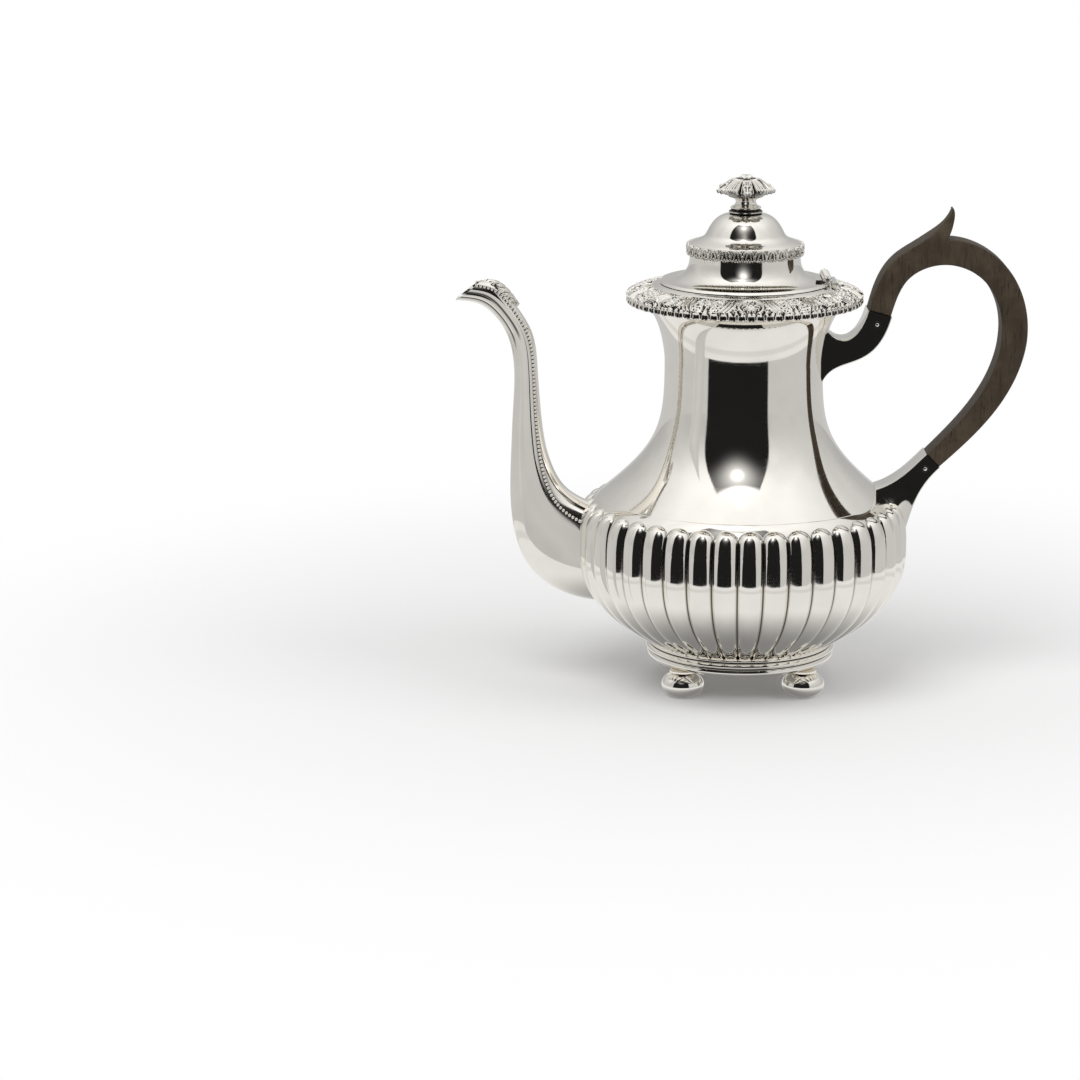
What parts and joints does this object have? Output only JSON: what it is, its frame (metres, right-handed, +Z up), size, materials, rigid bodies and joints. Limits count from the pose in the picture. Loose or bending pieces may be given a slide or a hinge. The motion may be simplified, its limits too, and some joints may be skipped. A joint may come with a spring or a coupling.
{
  "type": "coffee pot",
  "caption": "Silver coffee pot with a lobed melon bowl on ball feet, waisted neck, swan-neck spout, dark wood handle and a hinged domed lid with a flower finial.",
  "frame": {"origin": "on the pot's axis in the plane that the feet stand on, which is the bottom centre of the bounding box to within 2 mm", "axes": "+X towards the handle, -X towards the spout, +Z up along the pot's axis, +Y to the left of someone who looks along +X"},
  "size_m": [0.2752, 0.1612, 0.2502],
  "materials": {
    "polished_silver": "polished",
    "cast_silver": "polished castings with darkened recesses",
    "dark_wood": "worn dark stain",
    "pin_metal": "satin"
  },
  "bodies": {
    "pot": {"bowl": "polished_silver", "neck": "polished_silver", "foot_ring": "polished_silver", "ball_foot_1": "polished_silver", "ball_foot_2": "polished_silver", "ball_foot_3": "polished_silver", "ball_foot_4": "polished_silver", "rim_collar": "polished_silver", "rim_border": "cast_silver", "spout": "polished_silver", "spout_bead_front": "cast_silver", "spout_bead_back": "cast_silver", "spout_leaf": "cast_silver", "handle_grip": "dark_wood", "handle_upper_socket": "polished_silver", "handle_lower_socket": "polished_silver", "handle_upper_pin": "pin_metal", "handle_lower_pin": "pin_metal", "hinge_pot_leaf": "polished_silver", "hinge_pin": "pin_metal"},
    "lid": {"hinge_lid_leaf": "polished_silver", "lid_cover": "polished_silver", "lid_bezel": "polished_silver", "lid_border": "cast_silver", "finial_stem": "cast_silver", "finial_flower": "cast_silver", "finial_nut": "pin_metal"}
  },
  "joints": [
    {"name": "lid_hinge", "type": "hinge", "parent": "pot", "child": "lid", "pos_m": [0.039, 0, 0.20085], "axis": [0, 1, 0], "range_deg": [0, 95]}
  ]
}
